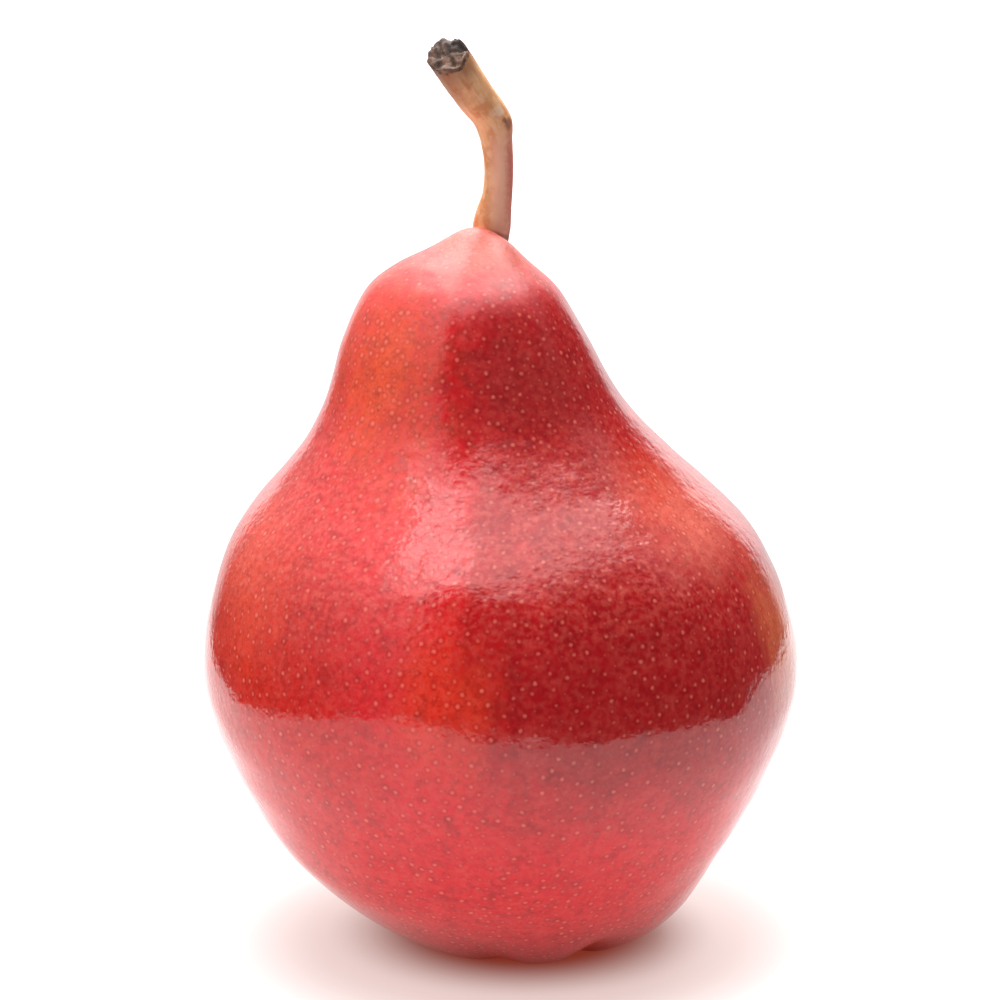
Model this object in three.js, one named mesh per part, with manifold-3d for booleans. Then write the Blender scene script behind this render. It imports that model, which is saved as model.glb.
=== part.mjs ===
// A ripe red pear standing on its foot: the flesh, its woody stem and the dried calyx under it.
// Millimetres, +Z up, origin at the middle of the foot. The neck leans towards -X as seen from -Y.

import * as THREE from 'three';
import { NURBSCurve } from 'three/addons/curves/NURBSCurve.js';
import { mergeVertices } from 'three/addons/utils/BufferGeometryUtils.js';
import Module from 'manifold-3d';

const { clamp, degToRad, lerp, smootherstep } = THREE.MathUtils;
const wasm = await Module();
wasm.setup();

// Driving dimensions
const FRUIT_WIDTH = 76;
const FRUIT_HEIGHT = 92;
const STEM_ROOT_DEPTH = 6.4;
const GAP = 0.3;

// Half outline of the flesh, as control points of one smooth curve:
// radius as a share of half the width, height as a share of the height
const BASIN_OUTLINE = [[0, 0.054], [0.06, 0.054], [0.125, 0.042], [0.19, 0.004], [0.27, -0.018]];
const FLANK_OUTLINE = [
  [0.498, 0.025], [0.638, 0.08], [0.794, 0.16], [0.914, 0.26], [1.01, 0.36], [0.995, 0.45],
  [0.944, 0.53], [0.85, 0.605], [0.649, 0.68], [0.492, 0.76], [0.415, 0.85], [0.323, 0.925],
];
const CROWN_OUTLINE = [[0.252, 0.949], [0.12, 0.982], [0, 0.982]];
const OUTLINE_STEPS = 60;
const SIDES = 60;

// The axis bends: the foot and the crown sit to one side, the neck leans to the other.
// Each span is the two shares of the height between which a change comes in.
const FOOT_SHIFT = 2.6;
const FOOT_SHIFT_SPAN = [0, 0.17];
const NECK_LEAN = 4.6;
const NECK_LEAN_SPAN = [0.48, 0.97];
const CROWN_SHIFT = 2.5;
const CROWN_SHIFT_SPAN = [0.955, 1];

// Five soft ribs run from the foot to the crown. Under the foot grooves lie between its lobes,
// deep on the sides that face DEEPEST_GROOVE or away from it, and shallow in between.
const LOBES = 5;
const FRONT_LOBE = degToRad(-80);
const LOBE_UNEVENNESS = 0.35;
const LOBE_TWIST = degToRad(90);
const RIB_SHARE = 0.004;
const NECK_RIB_SHARE = 0.01;
const NECK_RIB_SPAN = [0.6, 0.8];
const GROOVE_DEPTH = 1.4;
const GROOVE_SPAN = [0, 0.11];
const DEEPEST_GROOVE = degToRad(-58);
const SHALLOW_GROOVE_SHARE = 0.25;
const BASIN_LIP_SPAN = [3, 9.5];

// The section is a little oval, and one shoulder is flatter than the other
const OVAL_SHARE = -0.014;
const OVAL_ANGLE = degToRad(38);
const FLAT_SHOULDER = 0.6;
const FLAT_SHOULDER_SPREAD = degToRad(50);
const SHOULDER_RISE_SPAN = [0.4, 0.58];
const SHOULDER_FALL_SPAN = [0.58, 0.78];

// A small nub of flesh on the crown, with a dimple for the stem behind it
const NUB = { x: -2.6, y: 1, height: 2.5, spread: 3.2 };
const DIMPLE = { x: -0.9, y: 3.4, depth: 1, spread: 2.2 };
const CROWN_BACK_SLOPE = 0.18;
const CROWN_SPAN = [0.9, 0.97];

// The stem's centre line from the surface of the crown to the cut end, and its radius in even
// steps from the root in the flesh to that end
const STEM_LINE = [
  [-1.1, 3.4, 91.8], [-0.3, 3.4, 96.7], [-0.3, 3.2, 101.4], [-1.2, 2.3, 106],
  [-3.3, 0.7, 109.3], [-6.2, -1.9, 114.1],
];
const STEM_RADII = [1.8, 2, 2.35, 1.92, 1.83, 1.93, 2.18, 2.4, 2.55, 2.68];
const STEM_SIDES = 16;
const STEM_STEPS = 34;
const STEM_CUT_SLOPE = 0.55;
const STEM_CUT_SPAN = [0.86, 1];
const KNUCKLE = { at: 0.655, spread: 0.045, height: 0.5 };

// The calyx: a small dried cup with five pointed sepals that curl out into the basin
const CUP = { root: 2.4, rootRadius: 2, rimRadius: 2.7, rimDrop: 1.5, hollowRadius: 1.3 };
const CUP_SIDES = 20;
const SEPALS = 5;
const SEPAL = { width: 2.5, tipWidth: 0.5, thickness: 0.75, segments: 5 };
const SEPAL_ARCH = [[1.7, -1.1], [3.9, -1], [4.7, -3.3]];

// The calyx sits where the axis of the basin meets its surface
const basinHeight = BASIN_OUTLINE[0][1] * FRUIT_HEIGHT;
const basinAxis = axisShift(BASIN_OUTLINE[0][1]);

// From 0 at the start of a span to 1 at its end, with level ends
function rise(value, [from, to]) {
  return smootherstep(value, from, to);
}

// How far the axis of the flesh stands off the straight one at a share h of the height
function axisShift(h) {
  const foot = FOOT_SHIFT * (1 - rise(h, FOOT_SHIFT_SPAN));
  return foot - NECK_LEAN * rise(h, NECK_LEAN_SPAN) + CROWN_SHIFT * rise(h, CROWN_SHIFT_SPAN);
}

function smoothOutline(controls, steps) {
  const degree = 3;
  const spans = controls.length - degree;
  const knots = [];
  for (let i = 0; i <= controls.length + degree; i += 1) {
    knots.push(clamp(i - degree, 0, spans));
  }
  const weighted = controls.map(([radius, height]) => new THREE.Vector4(
    radius * FRUIT_WIDTH / 2,
    height * FRUIT_HEIGHT,
    0,
    1,
  ));
  const curve = new NURBSCurve(degree, knots, weighted);
  return curve.getPoints(steps).map((point) => new THREE.Vector2(point.x, point.y));
}

// A bell-shaped bump of the given spread, centred on x, y
function bell(point, centre) {
  const squared = (point.x - centre.x) ** 2 + (point.y - centre.y) ** 2;
  return Math.exp(-squared / (2 * centre.spread ** 2));
}

// Turns a point of the round lathed body into the pear's own uneven one
function shapeFlesh(point) {
  const radius = Math.hypot(point.x, point.y);
  const angle = Math.atan2(point.y, point.x);
  const h = point.z / FRUIT_HEIGHT;

  const fromLobe = angle - FRONT_LOBE;
  const lobePhase = LOBES * (fromLobe + LOBE_UNEVENNESS * Math.sin(2 * fromLobe));
  const lobes = Math.cos(lobePhase + LOBE_TWIST * h);
  const ribs = (RIB_SHARE + NECK_RIB_SHARE * rise(h, NECK_RIB_SPAN)) * lobes;
  const oval = OVAL_SHARE * Math.cos(2 * (angle - OVAL_ANGLE));
  const shoulder = rise(h, SHOULDER_RISE_SPAN) * (1 - rise(h, SHOULDER_FALL_SPAN));
  const flat = FLAT_SHOULDER * shoulder * Math.exp(-((angle / FLAT_SHOULDER_SPREAD) ** 2));
  const reach = radius * (1 + ribs + oval) - flat;
  point.x = axisShift(h) + reach * Math.cos(angle);
  point.y = reach * Math.sin(angle);

  const onCrown = rise(h, CROWN_SPAN);
  const backSlope = CROWN_BACK_SLOPE * Math.max(point.y - NUB.y, 0);
  const crown = NUB.height * bell(point, NUB) - DIMPLE.depth * bell(point, DIMPLE) - backSlope;
  const towardsDeepest = ((1 + Math.cos(2 * (angle - DEEPEST_GROOVE))) / 2) ** 2;
  const groove = GROOVE_DEPTH * lerp(SHALLOW_GROOVE_SHARE, 1, towardsDeepest) * ((1 - lobes) / 2) ** 2;
  const lift = groove * (1 - rise(h, GROOVE_SPAN)) * rise(radius, BASIN_LIP_SPAN);
  point.z = Math.max(point.z + onCrown * crown + lift, 0);
}

function moveVertices(geometry, change) {
  const position = geometry.attributes.position;
  const point = new THREE.Vector3();
  for (let i = 0; i < position.count; i += 1) {
    point.fromBufferAttribute(position, i);
    change(point);
    position.setXYZ(i, point.x, point.y, point.z);
  }
  return geometry;
}

function toSolid(geometry) {
  geometry.deleteAttribute('normal');
  geometry.deleteAttribute('uv');
  const merged = mergeVertices(geometry, 1e-4);
  const vertProperties = new Float32Array(merged.attributes.position.array);
  const triVerts = new Uint32Array(merged.index.array);
  return new wasm.Manifold(new wasm.Mesh({ numProp: 3, vertProperties, triVerts }));
}

function toGeometry(solid) {
  const mesh = solid.getMesh();
  const geometry = new THREE.BufferGeometry();
  geometry.setAttribute('position', new THREE.BufferAttribute(mesh.vertProperties, mesh.numProp));
  geometry.setIndex(new THREE.BufferAttribute(mesh.triVerts, 1));
  geometry.computeVertexNormals();
  return geometry;
}

function makeFlesh() {
  const controls = [...BASIN_OUTLINE, ...FLANK_OUTLINE, ...CROWN_OUTLINE];
  const geometry = new THREE.LatheGeometry(smoothOutline(controls, OUTLINE_STEPS), SIDES);
  geometry.rotateX(Math.PI / 2);
  return toSolid(moveVertices(geometry, shapeFlesh));
}

// The stem, or with some growth the socket that it stands in
function makeStem(growth) {
  const line = STEM_LINE.map((xyz) => new THREE.Vector3(...xyz));
  const root = line[0].clone().setZ(line[0].z - STEM_ROOT_DEPTH - growth);
  const path = new THREE.CatmullRomCurve3([root, ...line]);
  const frames = path.computeFrenetFrames(STEM_STEPS);
  const radii = STEM_RADII.map((radius, i) => new THREE.Vector2(i, radius));
  const girth = new THREE.SplineCurve(radii);
  const geometry = new THREE.CylinderGeometry(1, 1, 1, STEM_SIDES, STEM_STEPS);
  moveVertices(geometry, (point) => {
    const along = point.y + 0.5;
    const ring = Math.round(along * STEM_STEPS);
    const across = new THREE.Vector3();
    across.addScaledVector(frames.normals[ring], point.x);
    across.addScaledVector(frames.binormals[ring], -point.z);
    const onRight = Math.max(across.x, 0) ** 2;
    const fromKnuckle = (along - KNUCKLE.at) / KNUCKLE.spread;
    const knuckle = KNUCKLE.height * onRight * Math.exp(-(fromKnuckle ** 2));
    const radius = girth.getPoint(along).y + knuckle + growth;
    const cut = STEM_CUT_SLOPE * rise(along, STEM_CUT_SPAN) * radius * across.y;
    point.copy(path.getPointAt(along));
    point.addScaledVector(across, radius);
    point.addScaledVector(frames.tangents[ring], cut);
  });
  return toSolid(geometry);
}

// The calyx's cup, or with some growth the seat that it stands in
function makeCup(growth) {
  const profile = [
    [0, -CUP.rimDrop / 2 - growth],
    [CUP.hollowRadius / 2, -CUP.rimDrop / 2 - growth],
    [CUP.hollowRadius, -CUP.rimDrop - growth],
    [CUP.rimRadius + growth, -CUP.rimDrop - growth],
    [CUP.rimRadius + growth, -CUP.rimDrop / 2 + growth],
    [CUP.rootRadius + growth, growth],
    [CUP.rootRadius + growth, CUP.root + growth],
    [0, CUP.root + growth],
  ];
  const points = profile.map(([radius, height]) => new THREE.Vector2(radius, height));
  const geometry = new THREE.LatheGeometry(points, CUP_SIDES);
  geometry.rotateX(Math.PI / 2);
  geometry.translate(basinAxis, 0, basinHeight);
  return toSolid(geometry);
}

function makeSepal(turn) {
  const arch = new THREE.QuadraticBezierCurve(...SEPAL_ARCH.map((rz) => new THREE.Vector2(...rz)));
  const geometry = new THREE.BoxGeometry(1, 1, 1, SEPAL.segments, 2, 1);
  moveVertices(geometry, (point) => {
    const along = point.x + 0.5;
    const width = lerp(SEPAL.width, SEPAL.tipWidth, along ** 1.6);
    const middle = arch.getPoint(along);
    const tangent = arch.getTangent(along);
    const lift = point.z * SEPAL.thickness;
    const radius = middle.x - tangent.y * lift;
    const height = middle.y + tangent.x * lift;
    point.set(radius, point.y * width, height);
  });
  geometry.rotateZ(turn);
  geometry.translate(basinAxis, 0, basinHeight);
  return toSolid(geometry);
}

function makeCalyx() {
  let calyx = makeCup(0);
  for (let i = 0; i < SEPALS; i += 1) {
    calyx = calyx.add(makeSepal(FRONT_LOBE + (i + 0.5) * 2 * Math.PI / SEPALS));
  }
  return calyx;
}

const fruitSolid = makeFlesh().subtract(makeStem(GAP)).subtract(makeCup(GAP));

const group = new THREE.Group();

function addPiece(name, solid, color, roughness) {
  const material = new THREE.MeshStandardMaterial({ color, roughness, metalness: 0 });
  const mesh = new THREE.Mesh(toGeometry(solid), material);
  mesh.name = name;
  group.add(mesh);
}

addPiece('fruit', fruitSolid, 0xb4272b, 0.35);
addPiece('stem', makeStem(0), 0x9a6244, 0.8);
addPiece('calyx', makeCalyx(), 0x5c4030, 0.9);

// The origin is the middle of the box of the whole pear, at its foot
const box = new THREE.Box3().setFromObject(group);
const middle = box.getCenter(new THREE.Vector3());
group.position.set(-middle.x, -middle.y, 0);
group.updateMatrixWorld(true);

export default group;
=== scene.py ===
# A ripe red pear standing on a pale table: its skin, stem and calyx, each in place of a solid
import math
import random
from itertools import product

import bmesh
import bpy
from mathutils import Matrix, Vector, noise
from mathutils.kdtree import KDTree


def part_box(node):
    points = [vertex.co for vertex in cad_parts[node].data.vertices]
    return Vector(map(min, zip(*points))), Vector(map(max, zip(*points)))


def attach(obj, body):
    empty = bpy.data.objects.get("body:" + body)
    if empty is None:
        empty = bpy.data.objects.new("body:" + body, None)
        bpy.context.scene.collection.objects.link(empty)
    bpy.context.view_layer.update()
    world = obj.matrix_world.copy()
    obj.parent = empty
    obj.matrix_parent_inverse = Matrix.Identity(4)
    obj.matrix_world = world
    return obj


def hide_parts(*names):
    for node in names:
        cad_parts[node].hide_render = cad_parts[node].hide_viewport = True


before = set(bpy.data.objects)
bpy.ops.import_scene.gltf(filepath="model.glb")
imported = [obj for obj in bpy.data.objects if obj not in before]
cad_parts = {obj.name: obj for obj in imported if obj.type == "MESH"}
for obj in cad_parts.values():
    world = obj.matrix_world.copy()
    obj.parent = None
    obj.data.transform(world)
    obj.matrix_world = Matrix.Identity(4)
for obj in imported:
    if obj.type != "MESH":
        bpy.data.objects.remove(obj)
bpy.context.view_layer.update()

mm = 0.001  # shapes are worked out in millimetres and scaled to metres at the end
print("frame loaded:", sorted(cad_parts))


# Small helpers for shapes

def rise(value, start, end):  # from 0 to 1 between start and end, with level ends
    t = min(max((value - start) / (end - start), 0), 1)
    return t * t * t * (t * (6 * t - 15) + 10)


def bell(squaredDistance, spread):
    return math.exp(-squaredDistance / (2 * spread ** 2))


def lineMesh(points):  # a smooth line along a few control points, as loose edges
    curve = bpy.data.curves.new("line", "CURVE")
    curve.dimensions = "3D"
    curve.resolution_u = fruit["rowsPerPoint"]
    spline = curve.splines.new("NURBS")
    spline.points.add(len(points) - 1)
    for point, (radius, height) in zip(spline.points, points):
        point.co = (radius, 0, height, 1)
    spline.order_u = 4
    spline.use_endpoint_u = True
    holder = bpy.data.objects.new("line", curve)
    bpy.context.scene.collection.objects.link(holder)
    bpy.context.view_layer.update()
    mesh = bpy.data.meshes.new_from_object(holder)
    bpy.data.objects.remove(holder)
    bpy.data.curves.remove(curve)
    return mesh


def spinRound(bm, sides):  # turns the half outline in bm into a closed body round Z
    bmesh.ops.spin(
        bm, geom=bm.verts[:] + bm.edges[:], cent=(0, 0, 0), axis=(0, 0, 1),
        angle=2 * math.pi, steps=sides, use_merge=True,
    )
    bmesh.ops.remove_doubles(bm, verts=bm.verts[:], dist=1e-5)
    bmesh.ops.dissolve_degenerate(bm, edges=bm.edges[:], dist=1e-6)
    bmesh.ops.recalc_face_normals(bm, faces=bm.faces[:])


def makePiece(name, bm, material, node):  # a finished mesh that stands for a solid
    bmesh.ops.scale(bm, vec=(mm, mm, mm), verts=bm.verts[:])
    mesh = bpy.data.meshes.new(name)
    bm.to_mesh(mesh)
    bm.free()
    mesh.shade_smooth()
    mesh.materials.append(material)
    piece = bpy.data.objects.new(name, mesh)
    bpy.context.scene.collection.objects.link(piece)
    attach(piece, "root")
    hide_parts(node)
    print("made", name, "with", len(mesh.polygons), "faces")
    return piece


# Shader helpers

def tone(red, green, blue):  # a colour as a screen shows it, 0 to 255, in linear light
    return [((c / 255 + 0.055) / 1.055) ** 2.4 if c > 10 else c / 3295 for c in (red, green, blue)] + [1]


class Wire:  # one shader socket that can stand in a sum
    def __init__(self, paint, socket):
        self.paint = paint
        self.socket = socket

    def maths(self, operation, *values):
        return self.paint.add("ShaderNodeMath", {"operation": operation}, dict(enumerate(values)))

    def __add__(self, other):
        return self.maths("ADD", self, other)

    def __sub__(self, other):
        return self.maths("SUBTRACT", self, other)

    def __rsub__(self, other):
        return self.maths("SUBTRACT", other, self)

    def __mul__(self, other):
        return self.maths("MULTIPLY", self, other)

    def __truediv__(self, other):
        return self.maths("DIVIDE", self, other)

    def __pow__(self, other):
        return self.maths("POWER", self, other)

    __radd__ = __add__
    __rmul__ = __mul__

    def step(self, start, end):  # from 0 at start to 1 at end, clamped and soft
        return self.paint.add(
            "ShaderNodeMapRange", {"interpolation_type": "SMOOTHSTEP"}, {0: self, 1: start, 2: end},
        )

    def ramp(self, start, end):  # the same, along a straight line
        return self.paint.add("ShaderNodeMapRange", None, {0: self, 1: start, 2: end})


class Paint:  # the node tree of a material or of the world
    def __init__(self, owner):
        owner.use_nodes = True
        self.tree = owner.node_tree
        self.tree.nodes.clear()

    def add(self, kind, settings=None, inputs=None, output=0):
        node = self.tree.nodes.new(kind)
        for name, value in (settings or {}).items():
            setattr(node, name, value)
        for name, value in (inputs or {}).items():
            if isinstance(value, Wire):
                self.tree.links.new(value.socket, node.inputs[name])
            else:
                node.inputs[name].default_value = value
        return Wire(self, node.outputs[output]) if node.outputs else node

    def mix(self, share, first, second):
        return self.add("ShaderNodeMix", {"data_type": "RGBA"}, {0: share, 6: first, 7: second}, 2)

    def vector(self, operation, *values, output=0):
        return self.add("ShaderNodeVectorMath", {"operation": operation}, dict(enumerate(values)), output)

    def stretch(self, place, x, y, z):
        return self.vector("MULTIPLY", place, (x, y, z))

    def cloud(self, place, size, detail=2.0, roughness=0.5):  # noise, 0 to 1, with lumps of that size
        return self.add(
            "ShaderNodeTexNoise", None,
            {"Vector": place, "Scale": 1 / size, "Detail": detail, "Roughness": roughness},
        )

    def place(self):  # where a point lies in its piece, in millimetres
        coordinates = self.add("ShaderNodeTexCoord", None, None, "Object")
        return self.vector("MULTIPLY", coordinates, [1 / mm] * 3)

    def parts(self, place):
        apart = self.add("ShaderNodeSeparateXYZ", None, {0: place})
        sockets = apart.socket.node.outputs
        return [Wire(self, sockets[name]) for name in "XYZ"]

    def finish(self, shader, socket="Surface", kind="ShaderNodeOutputMaterial"):
        self.add(kind, None, {socket: shader})


# Camera, at the photograph's angle

camera = {
    "distance": 600,  # mm from the point that it looks at
    "elevation": math.radians(15),
    "target": (0, 0.14, 57.4),
    "lens": 170.5, "filmWidth": 36,
    "clip": (0.01, 50),  # metres
}


def makeCamera():
    data = bpy.data.cameras.new("camera")
    data.lens = camera["lens"]
    data.sensor_width = camera["filmWidth"]
    data.clip_start, data.clip_end = camera["clip"]
    viewer = bpy.data.objects.new("camera", data)
    bpy.context.scene.collection.objects.link(viewer)
    up, back = math.sin(camera["elevation"]), math.cos(camera["elevation"])
    away = Vector((0, -back, up))
    viewer.location = (Vector(camera["target"]) + away * camera["distance"]) * mm
    viewer.rotation_euler = away.to_track_quat("Z", "Y").to_euler()
    bpy.context.scene.camera = viewer


# Light: a soft box overhead and behind, a turned one in front of it, dimmer walls all round

studio = {
    "room": 0.1, "backdrop": 1.5,
    "ceiling": 1.5, "ceilingHeights": (46, 66),  # degrees above the horizon
    "topBox": 8.8, "topBoxHeights": (0.05, 0.2), "topBoxEdge": 0.18,
    "topBoxAcross": (-0.5, 0.7), "topBoxBack": (0.22, 1.1),  # as shares of its height above the pear
    "frontBox": 6.2, "frontBoxDim": 3.3,  # its bright left side and the rest of it
    "frontBoxLeft": (-0.37, -0.29), "frontBoxFade": (-0.14, 0.12), "frontBoxRight": (0.5, 1),
    "frontBoxHeights": (47, 61),
    "strip": 3.6, "stripSides": (-66, -43), "stripHeights": (24, 52), "stripEdge": 5,
    "leftWall": 2.3, "leftWallSides": (-152, -40), "leftWallHeights": (-8, 65), "leftWallEdge": 8,
    "rightWall": 1.2, "rightWallSides": (85, 150), "rightWallHeights": (24, 50), "rightWallEdge": 20,
    "backWallFrom": (144, 158),
    "backWall": [(-90, 0.8), (-7, 0.9), (3, 1.6), (20, 2.1), (52, 5.5)],  # by degrees above the horizon
}


def makeLight():
    world = bpy.data.worlds.new("studio")
    bpy.context.scene.world = world
    paint = Paint(world)
    direction = paint.add("ShaderNodeTexCoord", None, None, "Generated")
    x, y, z = paint.parts(direction)
    side = x.maths("DEGREES", x.maths("ARCTAN2", x, 0 - y))
    height = z.maths("DEGREES", z.maths("ARCSINE", z))
    up = z.maths("MAXIMUM", z, 0.05)
    across, back = x / up, y / up

    def between(value, low, high, edge):
        return value.step(low - edge, low + edge) * (1 - value.step(high - edge, high + edge))

    edge = studio["topBoxEdge"]
    topBox = between(across, *studio["topBoxAcross"], edge) * between(back, *studio["topBoxBack"], edge)
    topBox = studio["topBox"] * topBox * z.step(*studio["topBoxHeights"])

    turned = across - back
    frontBox = turned.step(*studio["frontBoxLeft"]) * (1 - turned.step(*studio["frontBoxRight"]))
    dimming = (studio["frontBoxDim"] - studio["frontBox"]) * turned.step(*studio["frontBoxFade"])
    bright = studio["frontBox"] + dimming
    frontBox = bright * frontBox * height.step(*studio["frontBoxHeights"])

    def wall(name):  # brightens from its low edge to its high one
        sides = between(side, *studio[name + "Sides"], studio[name + "Edge"])
        return studio[name] * sides * height.ramp(*studio[name + "Heights"])

    light = studio["ceiling"] * height.ramp(*studio["ceilingHeights"])
    backWall = 0
    for (low, dim), (high, lit) in zip(studio["backWall"], studio["backWall"][1:]):
        backWall = (lit - dim) * height.ramp(low, high) + backWall
    backWall = backWall + studio["backWall"][0][1]
    backWall = backWall * x.maths("ABSOLUTE", side).step(*studio["backWallFrom"])
    for lamp in (topBox, frontBox, wall("strip"), wall("leftWall"), wall("rightWall"), backWall):
        light = light.maths("MAXIMUM", light, lamp)
    light = light + studio["room"]
    seen = paint.add("ShaderNodeLightPath", None, None, "Is Camera Ray")
    strength = light + seen * (studio["backdrop"] - light)  # past the sheet the camera sees plain white
    glow = paint.add("ShaderNodeBackground", None, {"Color": (1, 1, 1, 1), "Strength": strength})
    paint.finish(glow, "Surface", "ShaderNodeOutputWorld")
    bpy.context.scene.view_settings.view_transform = "Standard"
    bpy.context.scene.view_settings.look = "None"


sheet = {
    "corners": [  # mm; the lower half of the skin mirrors this outline
        (-400, -390), (125, -115), (150, 0), (320, 110), (140, 200), (-140, 170), (-140, 50),
    ],
    "below": 0.02,  # mm under the table's height, so that the foot doesn't cross it
    "colour": (0.26, 0.26, 0.26, 1),
    "paintedShadowCentre": (3, 0, 0),
    "glow": [  # emission by distance from that point in mm: dark red near the pear is a painted contact shadow with painted red bounce light, rising to white far off
        (12, (0.2, 0.03, 0.015, 1)), (26, (0.64, 0.5, 0.47, 1)), (52, (0.98, 0.97, 0.96, 1)),
    ],
}


def makeSheet():
    material = bpy.data.materials.new("paleSheet")
    paint = Paint(material)
    # the glow is painted shade and light: a dark red painted shadow round the pear's foot, white further out
    away = paint.vector("DISTANCE", paint.place(), sheet["paintedShadowCentre"], output=1)
    glow = sheet["glow"][0][1]
    for (start, _), (end, colour) in zip(sheet["glow"], sheet["glow"][1:]):
        glow = paint.mix(away.step(start, end), glow, colour)
    paint.finish(paint.add("ShaderNodeBsdfPrincipled", None, {
        "Base Color": sheet["colour"], "Roughness": 0.9, "Specular IOR Level": 0.0,
        "Emission Color": glow, "Emission Strength": 1.0,
    }))
    bm = bmesh.new()
    bm.faces.new([bm.verts.new((x * mm, y * mm, -sheet["below"] * mm)) for x, y in sheet["corners"]])
    mesh = bpy.data.meshes.new("sheet")
    bm.to_mesh(mesh)
    bm.free()
    mesh.materials.append(material)
    floor = bpy.data.objects.new("sheet", mesh)
    bpy.context.scene.collection.objects.link(floor)


# The fruit: a half outline spun round, then bent and ribbed as the solid is, with finer relief

fruit = {
    "width": 76,
    "height": 92,
    "outline": [  # control points: radius as a share of half the width, height as a share of the height
        (0, 0.054), (0.06, 0.054), (0.125, 0.042), (0.19, 0.004), (0.27, -0.018),
        (0.498, 0.025), (0.638, 0.08), (0.794, 0.16), (0.914, 0.26), (1.01, 0.36), (0.995, 0.45),
        (0.944, 0.53), (0.85, 0.605), (0.649, 0.68), (0.492, 0.76), (0.415, 0.85), (0.323, 0.925),
        (0.252, 0.949), (0.12, 0.982), (0, 0.982),
    ],
    "rowsPerPoint": 15,
    "sides": 300,
    "footShift": 2.6, "footShiftSpan": (0, 0.17),
    "neckLean": 4.6, "neckLeanSpan": (0.48, 0.97),
    "crownShift": 2.5, "crownShiftSpan": (0.955, 1),
    "lobes": 5, "frontLobe": math.radians(-80), "lobeUnevenness": 0.35, "lobeTwist": math.radians(90),
    "rib": 0.004, "neckRib": 0.01, "neckRibSpan": (0.6, 0.8),
    "grooveDepth": 1.4, "deepestGroove": math.radians(-58), "shallowGrooveShare": 0.25,
    "grooveSpan": (0, 0.11), "basinLipSpan": (3, 9.5),
    "oval": -0.014, "ovalAngle": math.radians(38),
    "flatShoulder": 0.6, "flatShoulderSpread": math.radians(50),
    "shoulderRise": (0.4, 0.58), "shoulderFall": (0.58, 0.78),
    "nub": (-2.6, 1), "nubHeight": 2.5, "nubSpread": 3.2,
    "dimple": (-0.9, 3.4), "dimpleDepth": 1, "dimpleSpread": 2.2,
    "crownBackSlope": 0.18, "crownSpan": (0.9, 0.97),
    "dents": 0.16, "dentSize": 13,
    "ripples": 0.1, "rippleSize": 8,
    "evenBelow": (0.5, 6), "evenRoundStem": (2, 6), "crownFrom": 0.9,  # where the relief fades out
}


def axisShift(h):  # how far the axis stands off the straight one at a share h of the height
    foot = fruit["footShift"] * (1 - rise(h, *fruit["footShiftSpan"]))
    neck = fruit["neckLean"] * rise(h, *fruit["neckLeanSpan"])
    return foot - neck + fruit["crownShift"] * rise(h, *fruit["crownShiftSpan"])


def shapeFlesh(point):  # turns a point of the round body into the pear's own uneven one
    radius = math.hypot(point.x, point.y)
    angle = math.atan2(point.y, point.x)
    h = point.z / fruit["height"]

    fromLobe = angle - fruit["frontLobe"]
    phase = fruit["lobes"] * (fromLobe + fruit["lobeUnevenness"] * math.sin(2 * fromLobe))
    lobes = math.cos(phase + fruit["lobeTwist"] * h)
    ribs = (fruit["rib"] + fruit["neckRib"] * rise(h, *fruit["neckRibSpan"])) * lobes
    oval = fruit["oval"] * math.cos(2 * (angle - fruit["ovalAngle"]))
    shoulder = rise(h, *fruit["shoulderRise"]) * (1 - rise(h, *fruit["shoulderFall"]))
    flat = fruit["flatShoulder"] * shoulder * math.exp(-(angle / fruit["flatShoulderSpread"]) ** 2)
    reach = radius * (1 + ribs + oval) - flat
    x = axisShift(h) + reach * math.cos(angle)
    y = reach * math.sin(angle)

    (nubX, nubY), (dimpleX, dimpleY) = fruit["nub"], fruit["dimple"]
    nub = fruit["nubHeight"] * bell((x - nubX) ** 2 + (y - nubY) ** 2, fruit["nubSpread"])
    dimple = fruit["dimpleDepth"] * bell((x - dimpleX) ** 2 + (y - dimpleY) ** 2, fruit["dimpleSpread"])
    crown = nub - dimple - fruit["crownBackSlope"] * max(y - nubY, 0)
    towardsDeepest = ((1 + math.cos(2 * (angle - fruit["deepestGroove"]))) / 2) ** 2
    shallow = fruit["shallowGrooveShare"]
    groove = fruit["grooveDepth"] * (shallow + (1 - shallow) * towardsDeepest) * ((1 - lobes) / 2) ** 2
    lift = groove * (1 - rise(h, *fruit["grooveSpan"])) * rise(radius, *fruit["basinLipSpan"])
    return Vector((x, y, max(point.z + rise(h, *fruit["crownSpan"]) * crown + lift, 0)))


def skinRelief(point):  # shallow dents, and ripples that lie level all round
    dents = fruit["dents"] * noise.noise(point / fruit["dentSize"])
    size = fruit["rippleSize"]
    ripples = fruit["ripples"] * noise.noise(Vector((point.x / size, point.y / size, point.z * 2 / size)))
    offTable = rise(point.z, *fruit["evenBelow"])
    fromStem = math.hypot(point.x - fruit["dimple"][0], point.y - fruit["dimple"][1])
    onCrown = point.z > fruit["height"] * fruit["crownFrom"]
    return (dents + ripples) * offTable * (rise(fromStem, *fruit["evenRoundStem"]) if onCrown else 1)


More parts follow.
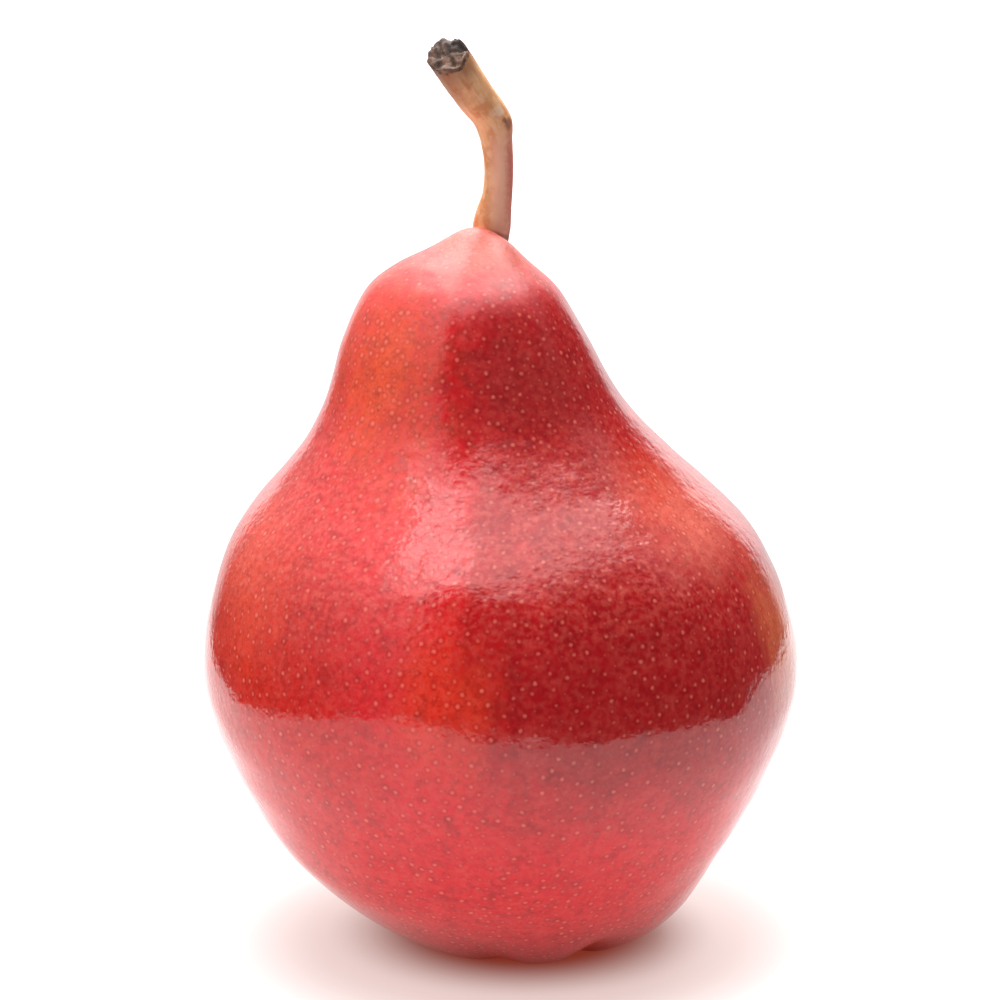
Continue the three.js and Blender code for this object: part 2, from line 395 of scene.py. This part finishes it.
def makeFruit(material):
    bm = bmesh.new()
    controls = [(r * fruit["width"] / 2, h * fruit["height"]) for r, h in fruit["outline"]]
    bm.from_mesh(lineMesh(controls))
    spinRound(bm, fruit["sides"])
    for vert in bm.verts:
        vert.co = shapeFlesh(vert.co)
    low = [min(v.co[i] for v in bm.verts) for i in range(2)]
    high = [max(v.co[i] for v in bm.verts) for i in range(2)]
    cadLow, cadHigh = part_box("fruit")
    shift = [(cadLow[i] + cadHigh[i]) / 2 / mm - (low[i] + high[i]) / 2 for i in range(2)]
    bm.normal_update()
    relief = [(vert, vert.normal * skinRelief(vert.co)) for vert in bm.verts]
    for vert, step in relief:
        vert.co += step
        vert.co.z = max(vert.co.z, 0)
    placed = Vector((*shift, 0))
    bmesh.ops.translate(bm, vec=placed, verts=bm.verts[:])
    bm.normal_update()
    scatterDots(bm)
    makePiece("pearSkin", bm, material, "fruit")
    return placed


# Pale dots: each face of the skin keeps the centres of the two dots nearest to it

dots = {
    "spacing": 1.25,  # mm, the least distance between two on the belly
    "fineSpacing": 0.95,  # and on the neck and the foot
    "fineAbove": (50, 70), "fineBelow": (8, 26),  # heights between which the spacing changes
    "tries": 30000,
    "seed": 11,
}


def scatterDots(bm):
    chance = random.Random(dots["seed"])
    layers = [bm.faces.layers.float_vector.new(name) for name in ("nearDot", "nextDot")]

    # spin leaves the faces in another order each run, so they are sorted by the numbers of their corners
    bm.verts.index_update()
    corners = []
    for face in bm.faces:
        first = min(face.loops, key=lambda loop: loop.vert.index)
        corners.append([loop.vert for loop in (first, first.link_loop_next, first.link_loop_prev)])
    corners.sort(key=lambda three: [vert.index for vert in three])
    patches = [(a.co, b.co - a.co, c.co - a.co) for a, b, c in corners]
    areas = [across.cross(up).length for _, across, up in patches]

    taken, centres = {}, []
    for corner, across, up in chance.choices(patches, areas, k=dots["tries"]):
        point = corner + across * chance.random() + up * chance.random()
        fine = max(rise(point.z, *dots["fineAbove"]), 1 - rise(point.z, *dots["fineBelow"]))
        spacing = dots["spacing"] + (dots["fineSpacing"] - dots["spacing"]) * fine
        cell = tuple(math.floor(value / dots["spacing"]) for value in point)
        ways = product((-1, 0, 1), repeat=3)
        near = [tuple(part + step for part, step in zip(cell, way)) for way in ways]
        if all((point - other).length > spacing for key in near for other in taken.get(key, ())):
            taken.setdefault(cell, []).append(point)
            centres.append(point)
    tree = KDTree(len(centres))
    for index, centre in enumerate(centres):
        tree.insert(centre, index)
    tree.balance()
    for face in bm.faces:
        found = tree.find_n(face.calc_center_median(), 2)
        for layer, (centre, _, _) in zip(layers, found):
            face[layer] = centre
    print("scattered", len(centres), "dots")


# The skin: crimson with scarlet and orange flushes, long streaks, a fine grain and pale dots

skin = {
    "deep": (0.37, 0.005, 0.008, 1), "red": (0.7, 0.005, 0.014, 1), "scarlet": (0.5, 0.012, 0.006, 1),
    "orange": (0.85, 0.085, 0.012, 1), "straw": (0.82, 0.22, 0.07, 1), "blush": (0.9, 0.32, 0.23, 1),
    "dot": (0.85, 0.21, 0.15, 1), "shade": (0.2, 0.005, 0.008, 1), "dusk": (0.36, 0.022, 0.022, 1),
    "roughness": 0.14, "crownRoughness": 0.42, "crownFrom": (80, 89),  # heights in mm
    "streakReach": 30, "streakRise": 0.11, "streaksEnd": (80, 90),  # how much they vary round and down it
    "broadSize": 9, "streakSize": 2.2, "driftSize": 14, "mottleSize": 1.6,  # mm
    "marbleSize": 2.6, "grainSize": 0.45, "paleBlobSize": 0.8, "crinkleSize": 2.2, "peelSize": 1.1,
    "shoulder": ((44, 54), (64, 74)), "foot": (1, 12), "footPaintedShade": 0.6,  # heights in mm
    "dotEdge": (0.04, 0.32), "dotStrength": 0.55,  # mm from the dot's centre
    "ringEdges": ((0.2, 0.36), (0.4, 0.65)), "ringStrength": 0.22,
    "rightSide": (-12, 12), "leftSide": (5, 33), "highFrom": (20, 38),  # where the broad colours change
    "flushEdge": (0.1, 1.2),  # as a share of a flush's half size
    "jointAt": (-1.1, 3.4, 0), "jointReach": (2.1, 3), "jointFrom": (85, 88), "jointShade": 0.7,
    "crinkles": 0.03, "shoulderCrinkles": 0.09, "peel": 0.055, "paleBlobRelief": 0.02, "dotRelief": 0.006,  # mm
    "flushes": [  # centre and half sizes in mm, colour and strength
        ((-14, -10, 77), (9, 22, 15), "orange", 0.75),
        ((-31, -14, 50), (9, 20, 12), "orange", 0.3),
        ((-6, -35, 43), (8, 14, 11), "orange", 0.3),
        ((20, -16, 62), (9, 10, 8), "orange", 0.3),
        ((26, -14, 60), (8, 12, 8), "blush", 0.3),
        ((4, -16, 77), (14, 10, 13), "dusk", 0.7),
        ((37, -12, 46), (7, 9, 12), "straw", 0.6),
        # the paler crown is partly the skin near the stem, partly a painted highlight
        ((-3, -3, 92), (12, 12, 7), "blush", 0.5),
        ((8, 32, 45), (14, 12, 20), "orange", 0.4),
        ((-12, 12, 72), (12, 10, 16), "orange", 0.4),
    ],
}


def makeSkin():
    material = bpy.data.materials.new("redPearSkin")
    paint = Paint(material)
    place = paint.place()
    x, _, z = paint.parts(place)

    # streaks run from the stem down to the foot, so they follow the direction from the axis
    outward = paint.vector("NORMALIZE", paint.stretch(paint.vector("ADD", place, (1.5, 0, 0)), 1, 1, 0))
    reach, fall = skin["streakReach"], skin["streakRise"]
    meridian = paint.vector("ADD", paint.stretch(outward, reach, reach, 0), paint.stretch(place, 0, 0, fall))
    broad = paint.cloud(meridian, skin["broadSize"], 3) - 0.5
    streaks = (paint.cloud(meridian, skin["streakSize"], 4, 0.6) - 0.5) * (1 - z.step(*skin["streaksEnd"]))
    drift = paint.cloud(place, skin["driftSize"], 4, 0.6) - 0.5
    mottle = paint.cloud(place, skin["mottleSize"], 3, 0.65) - 0.5

    # deep crimson high on the right, clear red low down, scarlet on the left
    wander = broad * 16 + drift * 18 + streaks * 12
    onRight = (x + wander).step(*skin["rightSide"])
    high = (z + drift * 14 + streaks * 8).step(*skin["highFrom"])
    red = paint.mix(onRight * high * 0.95, skin["red"], skin["deep"])
    onLeft = (0 - x + wander).step(*skin["leftSide"])
    red = paint.mix(onLeft * (0.35 + high * 0.65), red, skin["scarlet"])

    # flushes with frayed, streaky edges
    for centre, size, colour, strength in skin["flushes"]:
        apart = paint.stretch(paint.vector("SUBTRACT", place, centre), *[1 / s for s in size])
        distance = paint.vector("LENGTH", apart, output=1)
        flush = 1 - (distance + streaks + drift * 1.4 + mottle * 1.2).step(*skin["flushEdge"])
        red = paint.mix(flush * strength, red, skin[colour])

    # soft marbling and a finer grain
    marble = paint.cloud(place, skin["marbleSize"], 3, 0.6) - 0.5
    grain = paint.cloud(place, skin["grainSize"], 2, 0.6) - 0.5
    red = paint.mix((0 - marble).step(-0.02, 0.25) * 0.3, red, skin["shade"])
    red = paint.mix(marble.step(0, 0.25) * 0.08, red, skin["dot"])
    red = paint.mix((0 - mottle).step(0, 0.2) * 0.3, red, skin["shade"])
    red = paint.mix((0 - grain).step(0, 0.2) * 0.25, red, skin["shade"])
    # pale blobs, stronger across the shoulder: partly pale flecks of the skin, partly painted glints where
    # the gloss breaks up
    paleBlobsAndGlints = paint.cloud(place, skin["paleBlobSize"], 1) - 0.5
    low, high = skin["shoulder"]
    shoulder = z.step(*low) * (1 - z.step(*high))
    red = paint.mix(paleBlobsAndGlints.step(-0.2, 0.35) * (0.12 + shoulder * 0.14), red, skin["dot"])

    # pale dots with soft edges, each in a faint dark ring
    spots, rings = 0, 0
    inner, outer = skin["ringEdges"]
    for name in ("nearDot", "nextDot"):
        centre = paint.add("ShaderNodeAttribute", {"attribute_name": name}, None, "Vector")
        chance = paint.add("ShaderNodeTexWhiteNoise", None, {"Vector": centre}, "Value")
        distance = paint.vector("DISTANCE", place, centre, output=1) / (0.7 + chance * 0.5) + grain * 0.3
        spots = (1 - distance.step(*skin["dotEdge"])) * (0.2 + chance ** 1.6 * 0.8) + spots
        rings = distance.step(*inner) * (1 - distance.step(*outer)) * (0.4 + chance * 0.6) + rings
    red = paint.mix(rings * skin["ringStrength"], red, skin["shade"])
    # painted shade towards the foot, where it stands on the table, over its own darker skin there
    red = paint.mix((1 - z.step(*skin["foot"])) * skin["footPaintedShade"], red, skin["shade"])
    red = paint.mix(spots * skin["dotStrength"], red, skin["dot"])

    # painted shadow: a dark line round the foot of the stem, on its right, where the stem meets the crown
    fromStem = paint.vector("DISTANCE", paint.stretch(place, 1, 1, 0), skin["jointAt"], output=1)
    jointShadow = (1 - fromStem.step(*skin["jointReach"])) * z.step(*skin["jointFrom"]) * (x + 1).step(-1.5, 1)
    red = paint.mix(jointShadow * skin["jointShade"], red, skin["shade"])

    # the gloss breaks up over fine crinkles, deepest across the shoulder
    crinkles = paint.cloud(paint.stretch(place, 1, 1, 1.5), skin["crinkleSize"], 2, 0.5)
    peel = paint.cloud(place, skin["peelSize"], 2, 0.5)
    relief = crinkles * (skin["crinkles"] + shoulder * skin["shoulderCrinkles"]) + peel * skin["peel"]
    relief = relief + paleBlobsAndGlints * shoulder * skin["paleBlobRelief"] + spots * skin["dotRelief"]
    bump = paint.add("ShaderNodeBump", None, {"Strength": 1.0, "Distance": mm, "Height": relief})
    roughness = skin["roughness"] + (paint.cloud(place, 4, 3) - 0.5) * 0.1
    roughness = roughness + z.step(*skin["crownFrom"]) * (skin["crownRoughness"] - skin["roughness"])
    paint.finish(paint.add("ShaderNodeBsdfPrincipled", None, {
        "Base Color": red, "Roughness": roughness, "IOR": 1.5, "Normal": bump,
    }))
    return material


# The stem: a tube that follows the solid's line, with a knuckle and a ragged cut end

stem = {
    "line": [
        (-1.1, 3.4, 91.8), (-0.3, 3.4, 96.7), (-0.3, 3.2, 101.4), (-1.2, 2.3, 106),
        (-3.3, 0.7, 109.3), (-6.2, -1.9, 114.1),
    ],
    "rootDepth": 6.4,
    "radii": [1.8, 2, 2.35, 1.92, 1.83, 1.93, 2.18, 2.4, 2.52, 2.56],
    "cutSlope": 0.15, "cutLift": 0.8, "cutSpan": (0.86, 1),
    "cutRagged": 0.7, "raggedSpan": (0.955, 1),
    "cutHigh": 0.7, "cutHighSide": (-0.8, 0.4),  # the cut end stands up on one side
    "knuckle": 0.32, "knuckleAt": 0.635, "knuckleSpread": 0.05,
    "sides": 64, "rings": 170, "capRings": 8,
    "ridges": 0.07, "ridgeScale": (2.2, 2.2, 4), "lumps": 0.035, "lumpScale": (7, 7, 40),
}


def throughPoints(points, steps, pieces=60):  # an evenly stepped smooth line through the points
    ends = [points[0] * 2 - points[1], *points, points[-1] * 2 - points[-2]]
    fine = []
    for a, b, c, d in zip(ends, ends[1:], ends[2:], ends[3:]):
        ab, bc, cd = math.sqrt((b - a).length), math.sqrt((c - b).length), math.sqrt((d - c).length)
        leave = ((b - a) / ab - (c - a) / (ab + bc) + (c - b) / bc) * bc
        arrive = ((c - b) / bc - (d - b) / (bc + cd) + (d - c) / cd) * bc
        for i in range(pieces):
            t = i / pieces
            fine.append(
                b * (2 * t ** 3 - 3 * t ** 2 + 1) + leave * (t ** 3 - 2 * t ** 2 + t)
                + c * (3 * t ** 2 - 2 * t ** 3) + arrive * (t ** 3 - t ** 2)
            )
    fine.append(points[-1])
    lengths = [0]
    for p, q in zip(fine, fine[1:]):
        lengths.append(lengths[-1] + (q - p).length)
    line, k = [], 0
    for i in range(steps + 1):
        want = lengths[-1] * i / steps
        while k < len(fine) - 2 and lengths[k + 1] < want:
            k += 1
        share = (want - lengths[k]) / (lengths[k + 1] - lengths[k])
        line.append(fine[k].lerp(fine[k + 1], share))
    return line


def smoothValue(values, share):  # a value at a share of the way along evenly spaced ones
    at = share * (len(values) - 1)
    i = min(int(at), len(values) - 2)
    t = at - i
    a, b, c, d = [values[min(max(k, 0), len(values) - 1)] for k in (i - 1, i, i + 1, i + 2)]
    bend = (2 * a - 5 * b + 4 * c - d) * t * t + (3 * b - a - 3 * c + d) * t ** 3
    return b + 0.5 * ((c - a) * t + bend)


def makeStem(material, placed):
    points = [Vector(p) for p in stem["line"]]
    points.insert(0, points[0] - Vector((0, 0, stem["rootDepth"])))
    rings = stem["rings"]
    line = throughPoints(points, rings)
    bm = bmesh.new()
    profile = [(i / stem["capRings"], 0) for i in range(stem["capRings"])]
    profile += [(1, i / rings) for i in range(rings + 1)]
    profile += [(1 - (i + 1) / stem["capRings"], 1) for i in range(stem["capRings"])]
    made = [bm.verts.new((radius, 0, along)) for radius, along in profile]
    for first, second in zip(made, made[1:]):
        bm.edges.new((first, second))
    spinRound(bm, stem["sides"])
    grainMap = bm.loops.layers.uv.new("grain")
    for face in bm.faces:
        turns = [math.atan2(loop.vert.co.y, loop.vert.co.x) / (2 * math.pi) for loop in face.loops]
        wraps = max(turns) - min(turns) > 0.5
        for loop, turn in zip(face.loops, turns):
            loop[grainMap].uv = (turn + (1 if wraps and turn < 0 else 0), loop.vert.co.z)
    for vert in bm.verts:
        along, out = vert.co.z, min(math.hypot(vert.co.x, vert.co.y), 1)
        turn = math.atan2(vert.co.y, vert.co.x)
        ring = round(along * rings)
        ahead = line[min(ring + 1, rings)] - line[max(ring - 1, 0)]
        tangent = ahead.normalized()
        right = (Vector((1, 0, 0)) - tangent * tangent.x).normalized()
        across = right * math.cos(turn) + tangent.cross(right) * math.sin(turn)
        knuckle = stem["knuckle"] * max(across.x, 0) ** 2
        knuckle *= math.exp(-((along - stem["knuckleAt"]) / stem["knuckleSpread"]) ** 2)
        radius = smoothValue(stem["radii"], along) + knuckle
        onSide = Vector((across.x, across.y, along))
        ridges = stem["ridges"] * noise.noise(onSide * Vector(stem["ridgeScale"]))
        lumps = stem["lumps"] * noise.noise(onSide * Vector(stem["lumpScale"]))
        radius += ridges + lumps
        spot = across * out + Vector((0.3, 0.8, 2.6))
        ragged = (noise.noise(spot * 2.2) + 0.6 * noise.noise(spot * 6)) * stem["cutRagged"]
        highX, highY = stem["cutHighSide"]
        ragged += stem["cutHigh"] * (across.x * highX + across.y * highY) * out
        slope = stem["cutSlope"] * radius * across.y * out + stem["cutLift"]
        cut = slope * rise(along, *stem["cutSpan"]) + ragged * rise(along, *stem["raggedSpan"])
        vert.co = line[ring] + across * radius * out + tangent * cut
    bmesh.ops.translate(bm, vec=placed, verts=bm.verts[:])
    bmesh.ops.recalc_face_normals(bm, faces=bm.faces[:])
    makePiece("pearStem", bm, material, "stem")


bark = {
    "tan": tone(248, 188, 138), "brown": tone(218, 132, 74), "dark": tone(136, 84, 54),
    "pink": tone(255, 194, 168), "red": tone(206, 90, 78), "darkRedBrown": tone(124, 56, 44),
    "cut": tone(118, 86, 70), "fibre": tone(160, 118, 86), "black": tone(44, 32, 30),
    "pale": tone(255, 214, 184),
    "fibresRound": 16, "fibresAlong": 6, "fleckSize": 0.6, "blotchSize": 2.6,
    "upper": (106.5, 109.5), "lower": (101, 107), "jointShadow": (91.3, 91.9),  # heights in mm
    "redFrom": 0.8, "pinkFrom": -0.9,  # mm across the stem
    "bend": (-3.3, 109.3), "bendSide": (0.856, 0.52),  # x and z on the upper part's axis, and its lit side
    "end": (0.972, 0.988),  # as shares of the stem's length
    "fibreRelief": 0.08, "cutRelief": 0.15,  # mm
    "bumpAt": (-0.1, 0.4, 107.3), "knuckleDarks": [((1.1, 1.5, 105.5), 1.1), ((0.6, 1, 106), 0.5)],
    "knobAt": (-7.9, -1.4, 113.1), "blackAt": (-5.2, -1, 115.3),
}


def makeBark():
    material = bpy.data.materials.new("stemBark")
    paint = Paint(material)
    place = paint.place()
    x, _, z = paint.parts(place)
    grain = paint.add("ShaderNodeUVMap", {"uv_map": "grain"}, None)
    _, along, _ = paint.parts(grain)
    fibres = paint.cloud(paint.stretch(grain, bark["fibresRound"], bark["fibresAlong"], 1), 1, 4)
    flecks = paint.cloud(place, bark["fleckSize"], 3)
    blotches = paint.cloud(place, bark["blotchSize"], 3)
    browned = blotches + (fibres - 0.5) * 0.5
    colour = paint.mix(browned.step(0.42, 0.62) * 0.7, bark["tan"], bark["brown"])
    colour = paint.mix(fibres.step(0.42, 0.66) * 0.6, colour, bark["brown"])
    colour = paint.mix((1 - flecks).step(0.5, 0.7) * 0.3, colour, bark["pale"])

    # above the bend, painted shade and light: the underside, away from the light, is darkened to brown and
    # the lit top is painted paler tan; it also darkens towards the cut
    (bendX, bendZ), (sideX, sideZ) = bark["bend"], bark["bendSide"]
    lit = (x - bendX) * sideX + (z - bendZ) * sideZ + (fibres - 0.5) * 2.5
    upper = z.step(*bark["upper"])
    colour = paint.mix(upper * (1 - lit.step(-2.2, 0.8)) * 0.6, colour, bark["dark"])
    colour = paint.mix(upper * lit.step(0.4, 2.2) * 0.6, colour, bark["tan"])
    colour = paint.mix((along + (fibres - 0.5) * 0.08).step(0.86, 0.97) * 0.65, colour, bark["dark"])

    # below the bend the right side turns pink, then red; the pale pink is partly a painted highlight
    lower = 1 - z.step(*bark["lower"])
    wander = (flecks - 0.5) * 1.4 + (fibres - 0.5) * 1.2
    pink = (x + wander).step(bark["pinkFrom"] - 1, bark["pinkFrom"] + 0.8)
    colour = paint.mix(lower * pink * 0.8, colour, bark["pink"])
    red = (x + wander * 0.5).step(bark["redFrom"] - 0.4, bark["redFrom"] + 0.6)
    colour = paint.mix((0.1 + lower * 0.7) * red, colour, bark["red"])

    # the knuckle has a pale patch on top and dark patches under it, and a painted shadow darkens the stem's
    # foot on the right, where it meets the fruit
    def near(point, size):
        distance = paint.vector("DISTANCE", place, point, output=1) + (flecks - 0.5) * 0.8
        return 1 - distance.step(size * 0.4, size)

    colour = paint.mix(near(bark["bumpAt"], 1.1) * 0.8, colour, bark["pale"])
    for point, size in bark["knuckleDarks"]:
        colour = paint.mix(near(point, size) * 0.6, colour, bark["darkRedBrown"])
    jointShadow = 1 - (z + x * 0.45).step(*bark["jointShadow"])
    colour = paint.mix(jointShadow * (x + 1).step(-1, 1) * 0.6, colour, bark["darkRedBrown"])

    # the cut end is grey-brown with paler fibres, a black patch and a pink knob at its low side
    end = (along + (flecks - 0.5) * 0.04).step(*bark["end"])
    cut = paint.mix((blotches + flecks * 0.4).step(0.6, 0.8) * 0.7, bark["cut"], bark["black"])
    cut = paint.mix((1 - flecks).step(0.52, 0.68) * 0.45, cut, bark["fibre"])
    cut = paint.mix(near(bark["blackAt"], 2) * 0.85, cut, bark["black"])
    colour = paint.mix(end, colour, cut)
    colour = paint.mix(near(bark["knobAt"], 0.9) * 0.8, colour, bark["pink"])
    relief = fibres * bark["fibreRelief"] + flecks * end * bark["cutRelief"]
    bump = paint.add("ShaderNodeBump", None, {"Distance": mm, "Height": relief})
    paint.finish(paint.add("ShaderNodeBsdfPrincipled", None, {
        "Base Color": colour, "Roughness": 0.6, "IOR": 1.45, "Normal": bump,
    }))
    return material


# The calyx: a dried cup in the basin, with curled sepals and the stubs of stamens

calyx = {
    "basinHeight": 0.054,  # as a share of the fruit's height
    "cup": [  # radius and height from the basin's floor: down the outside from the root, then up the inside
        (0, 2.4), (1.6, 2.3), (2.0, 1.6), (2.3, 0), (2.65, -1.1), (2.5, -1.45), (1.9, -1.2),
        (1.35, -0.3), (1.1, 0.7), (0, 0.9),
    ],
    "cupSides": 48, "cupCreases": 0.12,
    "sepals": 5, "sepalWidth": 2.5, "sepalThickness": 0.3,
    "sepalArch": [(1.7, -1.1), (3.9, -1), (4.65, -3.2)],
    "sepalCurl": 0.45, "sepalCrumple": 0.22,
    "stamens": 14, "stamenLength": 1.7, "stamenRadius": 0.13, "stamenFlare": 1.6,
    "stamenTurn": 2.4, "stamenSpread": 0.8,  # each stands that many radians on from the last
}


def makeCalyx(material, placed):
    bm = bmesh.new()
    made = [bm.verts.new((radius, 0, height)) for radius, height in calyx["cup"]]
    edges = [bm.edges.new((first, second)) for first, second in zip(made, made[1:])]
    bmesh.ops.subdivide_edges(bm, edges=edges, cuts=3, smooth=0.6)
    spinRound(bm, calyx["cupSides"])
    for vert in bm.verts:
        darkRedBrown = noise.noise(Vector((vert.co.x * 1.6, vert.co.y * 1.6, vert.co.z * 0.5)))
        vert.co.xy *= 1 + calyx["cupCreases"] * darkRedBrown
    (nearR, nearZ), (midR, midZ), (farR, farZ) = calyx["sepalArch"]
    for i in range(calyx["sepals"]):
        turn = fruit["frontLobe"] + (i + 0.5) * 2 * math.pi / calyx["sepals"]
        leaf = bmesh.ops.create_grid(bm, x_segments=14, y_segments=8, size=0.5)["verts"]
        for vert in leaf:
            t, across = vert.co.x + 0.5, vert.co.y * 2
            seed = Vector((t * 3, across * 1.5, i * 7))
            width = calyx["sepalWidth"] / 2 * (1 - t) ** 0.6 * (1 + 0.25 * noise.noise(seed * 2)) + 0.08
            radius = nearR * (1 - t) ** 2 + 2 * midR * t * (1 - t) + farR * t * t
            height = nearZ * (1 - t) ** 2 + 2 * midZ * t * (1 - t) + farZ * t * t
            height += calyx["sepalCurl"] * across * across * (1 - t)
            height += calyx["sepalCrumple"] * noise.noise(seed)
            side = across * width
            vert.co = Vector((
                radius * math.cos(turn) - side * math.sin(turn),
                radius * math.sin(turn) + side * math.cos(turn), height,
            ))
        faces = list({face for vert in leaf for face in vert.link_faces})
        bmesh.ops.solidify(bm, geom=faces, thickness=calyx["sepalThickness"])
    for i in range(calyx["stamens"]):
        turn, lean = i * calyx["stamenTurn"], 0.25 + 0.75 * (i / calyx["stamens"])
        radius = calyx["stamenRadius"]
        stub = bmesh.ops.create_cone(
            bm, cap_ends=True, segments=8, radius1=radius, radius2=radius * calyx["stamenFlare"],
            depth=calyx["stamenLength"],
        )["verts"]
        tilt = Matrix.Rotation(turn, 3, "Z") @ Matrix.Rotation(math.pi - 0.5 * lean, 3, "Y")
        bmesh.ops.rotate(bm, cent=(0, 0, 0), matrix=tilt, verts=stub)
        reach = lean * calyx["stamenSpread"]
        at = Vector((math.cos(turn) * reach, math.sin(turn) * reach, 0.1))
        bmesh.ops.translate(bm, vec=at, verts=stub)
    bmesh.ops.recalc_face_normals(bm, faces=bm.faces[:])
    height = calyx["basinHeight"]
    centre = Vector((axisShift(height), 0, height * fruit["height"])) + placed
    bmesh.ops.translate(bm, vec=centre, verts=bm.verts[:])
    makePiece("pearCalyx", bm, material, "calyx")


husk = {
    "dark": tone(52, 36, 28), "brown": tone(104, 74, 52), "tan": tone(150, 116, 80),
    "patchSize": 1.1, "veinSize": 0.35, "veinRelief": 0.08,  # mm
}


def makeHusk():
    material = bpy.data.materials.new("dryCalyx")
    paint = Paint(material)
    place = paint.place()
    patches = paint.cloud(place, husk["patchSize"], 3)
    veins = paint.cloud(place, husk["veinSize"], 3)
    colour = paint.mix(patches.step(0.35, 0.65), husk["dark"], husk["brown"])
    colour = paint.mix(veins.step(0.5, 0.75) * 0.6, colour, husk["tan"])
    bump = paint.add("ShaderNodeBump", None, {"Distance": mm, "Height": veins * husk["veinRelief"]})
    paint.finish(paint.add("ShaderNodeBsdfPrincipled", None, {
        "Base Color": colour, "Roughness": 0.85, "Normal": bump,
    }))
    return material


def main():
    print("camera and light")
    makeCamera()
    makeLight()
    makeSheet()
    print("fruit")
    placed = makeFruit(makeSkin())
    print("stem")
    makeStem(makeBark(), placed)
    print("calyx")
    makeCalyx(makeHusk(), placed)


main()
